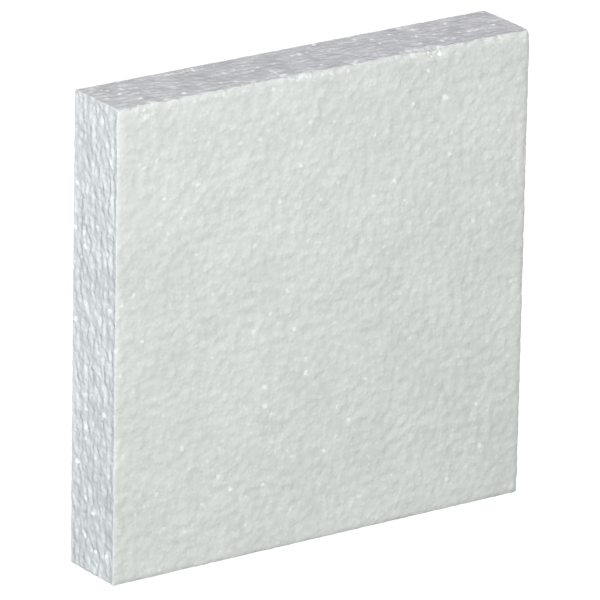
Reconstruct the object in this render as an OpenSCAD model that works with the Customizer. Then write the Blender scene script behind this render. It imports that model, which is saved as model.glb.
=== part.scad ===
// Square slab of white cellular foam, for floristry and craft work.
// It stands on its lower edge face, and its broad front face looks towards -Y.
// The origin is the middle of the lower edge face, and +Z is up.

/* [Slab] */
// Width of the slab, along X
slab_w = 302; // [100:1:610]
// Height of the slab as it stands, along Z
slab_h = 302; // [100:1:610]
// Thickness of the slab, along Y
slab_t = 48; // [20:1:100]

/* [Edges] */
// Radius that sawing and handling leave on every edge
edge_r = 1.5; // [0.5:0.5:5]

/* [Hidden] */
// How far each extruded outline runs past the slab, so that the other two cut its ends
overrun = 5;
foam_colour = "#dfe3e1";
$fn = 64;

// Rectangle centred on the origin, with its four corners rounded
module rounded_outline(width, depth) {
    straight_w = width - 2 * edge_r;
    straight_d = depth - 2 * edge_r;
    square([width, straight_d], center = true);
    square([straight_w, depth], center = true);
    for (side_x = [-1, 1], side_y = [-1, 1])
        translate([side_x * straight_w / 2, side_y * straight_d / 2])
            circle(r = edge_r);
}

// Bar that has the rounded outline as its section and runs past the slab at both ends
module outline_bar(width, depth, run) {
    linear_extrude(run + 2 * overrun, center = true)
        rounded_outline(width, depth);
}

// One solid piece: what the outlines of the front, the top and the side have in common
module foam_slab() {
    color(foam_colour)
        translate([0, 0, slab_h / 2])
            intersection() {
                rotate([90, 0, 0]) outline_bar(slab_w, slab_h, slab_t);
                outline_bar(slab_w, slab_t, slab_h);
                rotate([0, 90, 0]) outline_bar(slab_h, slab_t, slab_w);
            }
}

foam_slab();
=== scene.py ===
import math
import bpy
import numpy as np
from mathutils import Matrix, Vector


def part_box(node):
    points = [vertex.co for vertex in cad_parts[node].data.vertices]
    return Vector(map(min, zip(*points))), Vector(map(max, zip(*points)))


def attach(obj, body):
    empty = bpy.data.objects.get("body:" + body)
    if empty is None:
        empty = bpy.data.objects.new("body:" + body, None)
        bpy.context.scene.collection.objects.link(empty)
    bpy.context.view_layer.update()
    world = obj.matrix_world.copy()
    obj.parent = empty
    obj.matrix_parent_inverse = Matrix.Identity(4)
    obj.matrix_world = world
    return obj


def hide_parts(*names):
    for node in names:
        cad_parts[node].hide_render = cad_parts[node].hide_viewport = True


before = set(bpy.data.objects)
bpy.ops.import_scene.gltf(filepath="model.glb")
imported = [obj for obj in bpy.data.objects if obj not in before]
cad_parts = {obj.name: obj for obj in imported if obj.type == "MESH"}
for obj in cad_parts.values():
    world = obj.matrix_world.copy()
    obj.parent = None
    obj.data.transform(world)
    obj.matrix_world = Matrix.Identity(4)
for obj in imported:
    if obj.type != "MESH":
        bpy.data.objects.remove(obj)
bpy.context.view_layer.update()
slabLow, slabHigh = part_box("foam_slab")
slabMiddle = (slabLow + slabHigh) / 2
slabSize = slabHigh - slabLow
mm = 0.001


def deselectAll():
    if bpy.context.object and bpy.context.object.mode != "OBJECT":
        bpy.ops.object.mode_set(mode="OBJECT")
    bpy.ops.object.select_all(action="DESELECT")


def makeActive(piece):
    deselectAll()
    piece.select_set(True)
    bpy.context.view_layer.objects.active = piece


def applyModifier(piece, modifier):
    makeActive(piece)
    bpy.ops.object.modifier_apply(modifier=modifier.name)


def selectEdgesAlong(piece, axis):
    bpy.ops.mesh.select_mode(type="EDGE")
    bpy.ops.mesh.select_all(action="DESELECT")
    bpy.ops.object.mode_set(mode="OBJECT")
    mesh = piece.data
    places = np.empty(len(mesh.vertices) * 3, np.float32)
    mesh.vertices.foreach_get("co", places)
    ends = np.empty(len(mesh.edges) * 2, np.int32)
    mesh.edges.foreach_get("vertices", ends)
    run = np.abs(np.diff(places.reshape(-1, 3)[ends.reshape(-1, 2)], axis=1)[:, 0])
    mesh.edges.foreach_set("select", run[:, axis] > 0.99 * np.linalg.norm(run, axis=1))
    bpy.ops.object.mode_set(mode="EDIT")


def directionTo(azimuth, elevation):
    aside = math.radians(azimuth)
    up = math.radians(elevation)
    level = math.cos(up)
    return Vector((math.sin(aside) * level, -math.cos(aside) * level, math.sin(up)))


class Graph:  # a node tree with short ways to add and join nodes
    def __init__(self, tree):
        self.tree = tree

    def node(self, kind, **values):
        made = self.tree.nodes.new(kind)
        for name, value in values.items():
            setattr(made, name, value)
        return made

    def feed(self, socket, value):
        if isinstance(value, bpy.types.NodeSocket):
            self.tree.links.new(value, socket)
        else:
            socket.default_value = value

    def maths(self, operation, first, second=None):
        made = self.node("ShaderNodeMath", operation=operation)
        self.feed(made.inputs[0], first)
        if second is not None:
            self.feed(made.inputs[1], second)
        return made.outputs[0]

    def total(self, *values):
        whole = values[0]
        for value in values[1:]:
            whole = self.maths("ADD", whole, value)
        return whole

    def product(self, *values):
        whole = values[0]
        for value in values[1:]:
            whole = self.maths("MULTIPLY", whole, value)
        return whole

    def vector(self, operation, first, second=None):
        made = self.node("ShaderNodeVectorMath", operation=operation)
        self.feed(made.inputs[0], first)
        if second is not None:
            self.feed(made.inputs["Scale" if operation == "SCALE" else 1], second)
        return made.outputs["Value" if operation in ("LENGTH", "DISTANCE") else "Vector"]

    def split(self, value):
        made = self.node("ShaderNodeSeparateXYZ")
        self.feed(made.inputs[0], value)
        return made.outputs

    def blend(self, share, first, second):
        made = self.node("ShaderNodeMapRange")
        self.feed(made.inputs["Value"], share)
        self.feed(made.inputs["To Min"], first)
        self.feed(made.inputs["To Max"], second)
        return made.outputs["Result"]

    def smooth(self, value, low, high, start=0.0, end=1.0):
        made = self.node("ShaderNodeMapRange", interpolation_type="SMOOTHSTEP")
        self.feed(made.inputs["Value"], value)
        made.inputs["From Min"].default_value = low
        made.inputs["From Max"].default_value = high
        made.inputs["To Min"].default_value = start
        made.inputs["To Max"].default_value = end
        return made.outputs["Result"]

    def noise(self, place, size, detail=1.0, rough=0.5):
        made = self.node("ShaderNodeTexNoise", noise_dimensions="3D")
        self.feed(made.inputs["Vector"], place)
        made.inputs["Scale"].default_value = 1 / size
        made.inputs["Detail"].default_value = detail
        made.inputs["Roughness"].default_value = rough
        return made.outputs

    def cells(self, place, size, feature, random=1.0):
        made = self.node("ShaderNodeTexVoronoi", voronoi_dimensions="3D", feature=feature)
        self.feed(made.inputs["Vector"], place)
        made.inputs["Scale"].default_value = 1 / size
        made.inputs["Randomness"].default_value = random
        return made.outputs


cameraView = {
    "azimuth": -35.15,  # degrees round the slab, from straight in front
    "elevation": 19.46,
    "roll": 1.09,
    "distance": 16.15,  # this and the two aims are in slab heights
    "aimAside": -0.0577,
    "aimUp": 0.5243,
    "lens": 484.1,
    "sensorWidth": 36,
    "seesTo": 100,  # metres
}


def makeCamera(v):
    back = directionTo(v["azimuth"], v["elevation"])
    roll = math.radians(v["roll"])
    right = (-back).cross(Vector((0, 0, 1))).normalized()
    up = right.cross(-back)
    side = right * math.cos(roll) + up * math.sin(roll)
    top = up * math.cos(roll) - right * math.sin(roll)
    height = slabSize.z
    aim = Vector((slabMiddle.x + v["aimAside"] * height, slabLow.y, slabLow.z + v["aimUp"] * height))
    camera = bpy.data.objects.new("camera", bpy.data.cameras.new("camera"))
    bpy.context.scene.collection.objects.link(camera)
    turn = Matrix((side, top, back)).transposed().to_4x4()
    camera.matrix_world = Matrix.Translation(aim + back * v["distance"] * height) @ turn
    camera.data.lens = v["lens"]
    camera.data.sensor_width = v["sensorWidth"]
    camera.data.clip_end = v["seesTo"]
    bpy.context.scene.camera = camera


studio = {
    "floorSize": 12.0,
    "floorColour": (0.32, 0.32, 0.32),
    "floorGlow": 0.90,  # added for the camera only, so that the floor looks near white
    "worldColour": (0.97, 0.97, 1.0),
    "worldStrength": 0.10,
    "backdrop": 1.0,  # how bright the world looks, apart from how it lights the foam
}

lamps = {  # square lamps that all look at the middle of the slab
    "key": {
        "azimuth": -24,  # degrees round the slab, from straight in front
        "elevation": 29,
        "distance": 2.8,
        "size": 0.5,
        "power": 60.5,
        "colour": (0.965, 0.985, 0.96),
    },
    "side": {
        "azimuth": -98,
        "elevation": 9,
        "distance": 1.4,
        "size": 0.6,
        "power": 6.95,
        "colour": (0.865, 0.90, 1.0),
    },
    "above": {
        "azimuth": 128,
        "elevation": 60,
        "distance": 1.0,
        "size": 0.3,
        "power": 0.83,
        "colour": (0.746, 0.513, 1.0),
    },
    "right": {
        "azimuth": 120,
        "elevation": 0,
        "distance": 2.2,
        "size": 0.3,
        "power": 26,
        "colour": (0.97, 0.98, 1.0),
    },
    "back": {
        "azimuth": 165,
        "elevation": 0,
        "distance": 2.2,
        "size": 0.3,
        "power": 17,
        "colour": (0.97, 0.98, 1.0),
    },
}


def makeFloor(v):
    deselectAll()
    bpy.ops.mesh.primitive_plane_add(size=v["floorSize"], location=(0, 0, slabLow.z))
    floor = bpy.context.object
    floor.name = "floor"
    material = bpy.data.materials.new("paleFloor")
    material.use_nodes = True
    g = Graph(material.node_tree)
    g.tree.nodes.clear()
    lit = g.node("ShaderNodeBsdfDiffuse")
    lit.inputs["Color"].default_value = (*v["floorColour"], 1)
    glow = g.node("ShaderNodeEmission")
    glow.inputs["Strength"].default_value = v["floorGlow"]
    both = g.node("ShaderNodeAddShader")
    g.feed(both.inputs[0], lit.outputs[0])
    g.feed(both.inputs[1], glow.outputs[0])
    rays = g.node("ShaderNodeLightPath")
    pick = g.node("ShaderNodeMixShader")
    g.feed(pick.inputs["Fac"], rays.outputs["Is Camera Ray"])
    g.feed(pick.inputs[1], lit.outputs[0])
    g.feed(pick.inputs[2], both.outputs[0])
    end = g.node("ShaderNodeOutputMaterial")
    g.feed(end.inputs["Surface"], pick.outputs[0])
    floor.data.materials.append(material)


def makeWorld(v):
    world = bpy.data.worlds.new("studio")
    bpy.context.scene.world = world
    world.use_nodes = True
    g = Graph(world.node_tree)
    g.tree.nodes.clear()
    soft = g.node("ShaderNodeBackground")
    soft.inputs["Color"].default_value = (*v["worldColour"], 1)
    soft.inputs["Strength"].default_value = v["worldStrength"]
    seen = g.node("ShaderNodeBackground")
    seen.inputs["Color"].default_value = (1, 1, 1, 1)
    seen.inputs["Strength"].default_value = v["backdrop"]
    rays = g.node("ShaderNodeLightPath")
    pick = g.node("ShaderNodeMixShader")
    g.feed(pick.inputs["Fac"], rays.outputs["Is Diffuse Ray"])
    g.feed(pick.inputs[1], seen.outputs[0])
    g.feed(pick.inputs[2], soft.outputs[0])
    end = g.node("ShaderNodeOutputWorld")
    g.feed(end.inputs["Surface"], pick.outputs[0])


def makeLamp(name, v):
    back = directionTo(v["azimuth"], v["elevation"])
    data = bpy.data.lights.new(name, "AREA")
    data.shape = "SQUARE"
    data.size = v["size"]
    data.energy = v["power"]
    data.color = v["colour"]
    lamp = bpy.data.objects.new(name, data)
    bpy.context.scene.collection.objects.link(lamp)
    lamp.location = slabMiddle + back * v["distance"]
    lamp.rotation_mode = "QUATERNION"
    lamp.rotation_quaternion = (-back).to_track_quat("-Z", "Y")


slabShape = {
    "arrisRadius": 1.5 * mm,
    "arrisSegments": 4,
    "step": (1.8 * mm, 0.97 * mm, 1.8 * mm),  # between mesh lines, along X, Y and Z
}

foamCells = {
    "size": (5.4 * mm, 5.0 * mm, 4.9 * mm),  # of one cell
    "random": 0.75,
    "waver": 1.2 * mm,  # how far the cell walls wander from straight
    "waverSize": 7 * mm,
}

relief = {
    "facing": (0.35, 0.98),  # share of a normal at which a face starts and ends turning into another
    "dishReach": 0.42,  # from a cell wall to the flat middle of the dish, in cells
    "sawnDepth": 0.7 * mm,  # how deep the saw opened the cells of the edge faces
    "sawnStep": 0.4 * mm,  # how far one cell may lie below the next
    "skinDepth": 0.12 * mm,  # the same two on the broad faces
    "skinStep": 0.08 * mm,
    "layerDepth": 0.33 * mm,  # the foam grew in wavy layers that run along the broad faces
    "layerPitch": 6.9 * mm,
    "layerWander": 2.2 * mm,
    "layerWanderSize": 9 * mm,
    "pebbleDepth": 0.66 * mm,  # rounded pebbles on every face
    "pebbleSize": 4.8 * mm,
    "pebbleLimits": (0.25, 0.75),  # of the noise, from a pebble's top to the gap beside it
    "endShare": 0.55,  # share of the relief that the top and bottom have
    "rollDepth": 0.8 * mm,  # how far the broad faces roll back towards their arrises
    "wearDepth": 0.15 * mm,  # bites out of every arris
    "raggedDepth": 1.1 * mm,  # deeper bites along the top front arris
    "wearSize": 6 * mm,
    "wearLimits": (0.45, 0.7),  # of the noise, from no bite to a full one
    "wearReach": 5 * mm,
    "arrisCalm": 0.3,  # share of the relief that is left on the arrises
}

tornSpots = {
    "topEdge": {"across": 80 * mm, "reach": 10 * mm, "depth": 2.2 * mm},
    "besideIt": {"across": 65 * mm, "reach": 8 * mm, "depth": 1.2 * mm},
    "topCorner": {"across": 146 * mm, "reach": 9 * mm, "depth": 0.4 * mm},
}
tornRagSize = 2.6 * mm  # of the shreds round a torn spot


def cutAlong(piece, axis, step):
    count = max(1, round(slabSize[axis] / step))
    first = max(1, round(math.sqrt(count)))
    second = max(1, round(count / first))
    for pieces in (first, second):  # in two goes, because one makes at most 100 cuts
        if pieces > 1:
            selectEdgesAlong(piece, axis)
            bpy.ops.mesh.subdivide(number_cuts=pieces - 1)


def cellsAt(g, place, v):
    drift = g.vector("SUBTRACT", g.noise(place, v["waverSize"])["Color"], (0.5, 0.5, 0.5))
    place = g.vector("ADD", place, g.vector("SCALE", drift, v["waver"] * 2))
    place = g.vector("DIVIDE", place, v["size"])
    wall = g.cells(place, 1.0, "DISTANCE_TO_EDGE", v["random"])["Distance"]
    lots = g.split(g.cells(place, 1.0, "F1", v["random"])["Color"])
    return wall, lots


def arrisGap(g, place):
    away = g.vector("ABSOLUTE", g.vector("SUBTRACT", place, slabMiddle))
    x, y, z = g.split(g.vector("SUBTRACT", slabSize / 2, away))
    nearer = g.maths("MINIMUM", x, y)
    farther = g.maths("MAXIMUM", x, y)
    return g.maths("MAXIMUM", nearer, g.maths("MINIMUM", farther, z))  # the middle one of the three


def topFrontGap(g, place):
    return g.vector("DISTANCE", g.vector("MULTIPLY", place, (0, 1, 1)), (0, slabLow.y, slabHigh.z))


def tornAt(g, place, rag, v):
    at = Vector((v["across"], slabLow.y, slabHigh.z))
    gap = g.vector("DISTANCE", place, at)
    gap = g.total(gap, g.product(g.maths("SUBTRACT", rag, 0.5), v["reach"] * 1.6))  # a ragged outline
    return g.smooth(gap, v["reach"] * 0.85, v["reach"] * 0.5)


def buildRelief(cell, v):
    tree = bpy.data.node_groups.new("foamRelief", "GeometryNodeTree")
    tree.interface.new_socket("Geometry", in_out="INPUT", socket_type="NodeSocketGeometry")
    tree.interface.new_socket("Geometry", in_out="OUTPUT", socket_type="NodeSocketGeometry")
    g = Graph(tree)
    start = g.node("NodeGroupInput")
    end = g.node("NodeGroupOutput")
    place = g.node("GeometryNodeInputPosition").outputs[0]
    normal = g.node("GeometryNodeInputNormal").outputs[0]
    _, deep, up = g.split(normal)
    broad = g.smooth(g.maths("ABSOLUTE", deep), *v["facing"])
    level = g.smooth(g.maths("ABSOLUTE", up), *v["facing"])
    wall, lots = cellsAt(g, place, cell)
    dish = g.product(g.smooth(wall, 0.0, v["dishReach"]), g.blend(broad, v["sawnDepth"], v["skinDepth"]))
    step = g.product(lots[0], g.blend(broad, v["sawnStep"], v["skinStep"]))
    wander = g.maths("SUBTRACT", g.noise(place, v["layerWanderSize"], 0.0)["Fac"], 0.5)
    wander = g.product(wander, v["layerWander"] * 4)
    turn = g.product(g.total(g.split(place)[1], wander), 2 * math.pi / v["layerPitch"])
    depth = g.split(g.vector("ABSOLUTE", g.vector("SUBTRACT", place, slabMiddle)))[1]
    half = slabSize.y / 2
    inner = g.smooth(depth, half, half - v["wearReach"], v["arrisCalm"], 1.0)
    endOn = g.blend(level, 1.0, v["endShare"])
    layer = g.product(g.total(g.maths("SINE", turn), 1.0), v["layerDepth"] / 2, inner, endOn)
    pebble = g.smooth(g.noise(place, v["pebbleSize"], 0.0)["Fac"], *v["pebbleLimits"])
    pebble = g.product(pebble, v["pebbleDepth"])
    rag = g.noise(place, tornRagSize)["Fac"]
    bite = g.smooth(g.noise(place, v["wearSize"], 0.0)["Fac"], *v["wearLimits"])
    gap = arrisGap(g, place)
    worn = g.product(g.smooth(gap, v["wearReach"], 0), bite, v["wearDepth"])
    ragged = g.product(g.smooth(topFrontGap(g, place), v["wearReach"], 0), bite, v["raggedDepth"])
    calm = g.product(g.smooth(gap, 0, v["wearReach"], v["arrisCalm"], 1.0), endOn)
    near = g.maths("SUBTRACT", 1.0, g.maths("DIVIDE", gap, v["wearReach"]))
    near = g.maths("MAXIMUM", near, 0.0)
    roll = g.product(near, near, broad, v["rollDepth"])
    torn = []
    for spot in tornSpots.values():
        torn.append(g.product(tornAt(g, place, rag, spot), rag, spot["depth"] * 1.6))
    sink = g.total(g.product(g.total(dish, step, pebble), calm), layer, roll, worn, ragged, *torn)
    shift = g.node("GeometryNodeSetPosition")
    g.feed(shift.inputs["Geometry"], start.outputs[0])
    g.feed(shift.inputs["Offset"], g.vector("SCALE", normal, g.product(sink, -1.0)))
    g.feed(end.inputs[0], shift.outputs[0])
    return tree


def makeSlab(v):
    deselectAll()
    bpy.ops.mesh.primitive_cube_add(size=1, location=slabMiddle, scale=slabSize)
    slab = bpy.context.object
    slab.name = "sawnFoam"
    bpy.ops.object.transform_apply(location=True, rotation=True, scale=True)
    bpy.ops.object.mode_set(mode="EDIT")
    bpy.ops.mesh.select_all(action="SELECT")
    bpy.ops.mesh.bevel(offset=v["arrisRadius"], segments=v["arrisSegments"], profile=0.5)
    for axis in range(3):
        cutAlong(slab, axis, v["step"][axis])
    makeActive(slab)
    bpy.ops.object.shade_smooth()
    print("slab blocked out:", len(slab.data.polygons), "faces")
    opened = slab.modifiers.new("opened", "NODES")
    opened.node_group = buildRelief(foamCells, relief)
    applyModifier(slab, opened)
    print("cells, pebbles and worn arrises cut")
    return slab


foamFinish = {
    "facing": (0.5, 0.9),  # as in the relief
    "colour": (0.849, 0.876, 0.854),
    "roughness": 0.55,
    "gloss": 0.3,
    "mottle": 0.062,  # how far one cell's lightness may differ from another's
    "paintedCrestLight": 0.053,  # painted highlight: how much lighter the tops of the small lumps are painted, as if they caught the light
    "paintedCrestLightReach": (0.4, 0.1),  # from a lump's middle, in lumps
    "slowTint": 0.1,  # broad lighter and darker clouds
    "slowTintSize": 36 * mm,
    "sawnPatch": 0.24,  # extra lighter and darker patches on the sawn faces
    "endPatch": 0.55,  # and on the top and bottom
    "patchSize": 13 * mm,
    "lumpHeight": 0.18 * mm,
    "lumpSize": 3.3 * mm,
    "lumpReach": 0.7,
    "grainHeight": 0.04 * mm,
    "grainSize": 1.1 * mm,
    "wallHeight": 0.08 * mm,  # cell walls standing proud of the sawn faces
    "wallReach": 0.3,
}

# flakes are painted near white and glossy: partly paler loose foam, partly a painted glint
flakeAndPaintedGlints = {
    "size": 3.0 * mm,
    "outline": (0.7, 0.35),  # where a flake fades out and where it is full, in flakes
    "strength": (0.25, 1.2),  # of the faintest and the strongest
    "crumple": 3.0 * mm,  # how far their outlines are from round
    "crumpleSize": 1.8 * mm,
    "skinShare": 0.011,  # of the flake-sized spots on the broad faces
    "sideShare": 0.025,  # and on the sawn faces that stand upright
    "endShare": 0.06,  # and on the top and bottom
    "arrisShare": 0.20,  # added close to the top front arris
    "arrisReach": (9 * mm, 1 * mm),
    "tornShare": 0.4,  # added where the foam is torn
    # near-white colour of the flakes, partly a painted glint
    "colour": (0.97, 0.98, 0.975),
    "roughness": 0.25,
    "lean": (-0.42, -0.72, 0.45),  # the way that the flakes curl up
}

paintedSparkles = {  # painted glints: flakes painted near white where they stand out on the front face: across, up, radius
    "pairHigh": (-42, 107, 1.5),
    "pairLow": (-42, 95, 1.7),
    "beside": (-37, 88, 1.3),
    "lowLeft": (-102, 79, 1.4),
    "lowRight": (121, 37, 1.5),
    "highRight": (88, 269, 2.0),
    "aboveIt": (64, 269, 1.1),
    "belowIt": (92, 232, 1.4),
    "cornerHigh": (147, 296, 0.9),
    "cornerMid": (142, 291, 0.8),
    "cornerLow": (148, 287, 0.8),
}

paintedCreaseShade = {  # painted shade: a dark curved line painted under the torn top arris, part of a ring, where a dent would lie in shade; the dent itself is not cut into the mesh
    "across": 74 * mm,
    "up": 292 * mm,
    "radius": 6.5 * mm,
    "width": 1.1 * mm,
    "fade": 3 * mm,
    "shade": 0.16,  # how much darker it is
}


def paintedCreaseShadeAt(g, place, v):
    x, _, z = g.split(place)
    gap = g.vector("DISTANCE", place, (v["across"], slabLow.y, v["up"]))
    line = g.maths("ABSOLUTE", g.maths("SUBTRACT", gap, v["radius"]))
    line = g.smooth(line, v["width"], v["width"] * 0.2)
    rightPart = g.smooth(x, v["across"], v["across"] + v["fade"])
    upperPart = g.smooth(z, v["up"] - v["fade"], v["up"])
    return g.product(line, rightPart, upperPart)


def foamMaterial(cell, v, f):
    material = bpy.data.materials.new("whiteFoam")
    material.use_nodes = True
    g = Graph(material.node_tree)
    shader = g.tree.nodes["Principled BSDF"]
    place = g.node("ShaderNodeTexCoord").outputs["Object"]
    normal = g.node("ShaderNodeNewGeometry").outputs["Normal"]
    aside, deep, up = g.split(normal)  # X, Y and Z
    broad = g.smooth(g.maths("ABSOLUTE", deep), *v["facing"])
    wall, lots = cellsAt(g, place, cell)
    lump = g.cells(place, v["lumpSize"], "F1")["Distance"]
    grain = g.noise(place, v["grainSize"])["Fac"]
    slow = g.noise(place, v["slowTintSize"], 2.0, 0.7)["Fac"]
    level = g.smooth(g.maths("ABSOLUTE", up), *v["facing"])
    patchy = g.blend(broad, g.blend(level, v["sawnPatch"], v["endPatch"]), 0.0)
    patch = g.product(g.maths("SUBTRACT", g.noise(place, v["patchSize"])["Fac"], 0.5), patchy)

    # loose flakes, more of them on sawn faces and broken arrises; their near-white colour is partly
    # paler loose foam and partly a painted glint
    crumpled = g.vector("SUBTRACT", g.noise(place, f["crumpleSize"])["Color"], (0.5, 0.5, 0.5))
    crumpled = g.vector("ADD", place, g.vector("SCALE", crumpled, f["crumple"]))
    rag = g.noise(place, tornRagSize)["Fac"]
    torn = [tornAt(g, place, rag, spot) for spot in tornSpots.values()]
    edge = g.product(g.smooth(topFrontGap(g, place), *f["arrisReach"]), f["arrisShare"])
    sawn = g.blend(g.maths("ABSOLUTE", up), f["sideShare"], f["endShare"])
    loose = g.product(g.total(*torn), f["tornShare"])
    share = g.total(g.blend(broad, sawn, f["skinShare"]), edge, loose)
    flake = g.cells(crumpled, f["size"], "F1")
    flakeLots = g.split(flake["Color"])
    chosen = g.maths("GREATER_THAN", g.total(flakeLots[0], share), 1.0)
    strength = g.blend(flakeLots[1], *f["strength"])
    flakeAndPaintedGlint = g.product(chosen, g.smooth(flake["Distance"], *f["outline"]), strength)
    # painted glints at the listed spots on the front face
    for x, z, radius in paintedSparkles.values():
        gap = g.vector("DISTANCE", crumpled, (x * mm, slabLow.y, z * mm))
        flakeAndPaintedGlint = g.maths("MAXIMUM", flakeAndPaintedGlint, g.smooth(gap, radius * 1.5 * mm, radius * 0.6 * mm))

    # lightness of the foam: random tone per cell, broad clouds and patches, plus painted highlight on
    # lump tops and painted shade along the crease
    light = g.total(
        1.0,
        g.product(g.maths("SUBTRACT", lots[1], 0.5), v["mottle"]),
        g.product(g.maths("SUBTRACT", slow, 0.5), v["slowTint"] * 2),
        patch,
        # painted highlight on the tops of the small lumps
        g.product(g.smooth(lump, *v["paintedCrestLightReach"]), v["paintedCrestLight"]),
    )
    # painted shade along the crease: the foam is painted darker there
    light = g.product(light, g.blend(paintedCreaseShadeAt(g, crumpled, paintedCreaseShade), 1.0, 1.0 - paintedCreaseShade["shade"]))
    # painted glint: the flakes get the near-white flake colour
    colour = g.node("ShaderNodeMix", data_type="RGBA")
    g.feed(colour.inputs["Factor"], flakeAndPaintedGlint)
    g.feed(colour.inputs[6], g.vector("SCALE", v["colour"], light))
    colour.inputs[7].default_value = (*f["colour"], 1)
    g.feed(shader.inputs["Base Color"], colour.outputs[2])
    g.feed(shader.inputs["Roughness"], g.blend(flakeAndPaintedGlint, v["roughness"], f["roughness"]))
    shader.inputs["Specular IOR Level"].default_value = v["gloss"]

    away = g.maths("GREATER_THAN", g.total(aside, deep), 0.5)  # the right and back faces
    curl = g.node("ShaderNodeCombineXYZ")  # flakes there curl the other way
    g.feed(curl.inputs[0], g.blend(away, f["lean"][0], -f["lean"][0]))
    g.feed(curl.inputs[1], g.blend(away, f["lean"][1], -f["lean"][1]))
    g.feed(curl.inputs[2], f["lean"][2])
    leaning = g.vector("ADD", normal, g.vector("SCALE", curl.outputs[0], flakeAndPaintedGlint))
    ridge = g.smooth(wall, 0.0, v["wallReach"], 1.0, 0.0)
    ridge = g.product(ridge, g.blend(broad, v["wallHeight"] / mm, 0.0))
    rounded = g.smooth(lump, 0.0, v["lumpReach"], v["lumpHeight"] / mm, 0.0)
    height = g.total(ridge, rounded, g.product(grain, v["grainHeight"] / mm))
    bump = g.node("ShaderNodeBump")
    bump.inputs["Distance"].default_value = mm
    bump.inputs["Strength"].default_value = 1.0
    g.feed(bump.inputs["Height"], height)
    g.feed(bump.inputs["Normal"], g.vector("NORMALIZE", leaning))
    g.feed(shader.inputs["Normal"], bump.outputs["Normal"])
    return material


bpy.context.scene.view_settings.view_transform = "Standard"
makeCamera(cameraView)
makeFloor(studio)
makeWorld(studio)
for name, values in lamps.items():
    makeLamp(name, values)
print("studio ready")
slab = makeSlab(slabShape)
slab.data.materials.clear()
slab.data.materials.append(foamMaterial(foamCells, foamFinish, flakeAndPaintedGlints))
print("foam finished")
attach(slab, "root")
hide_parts("foam_slab")
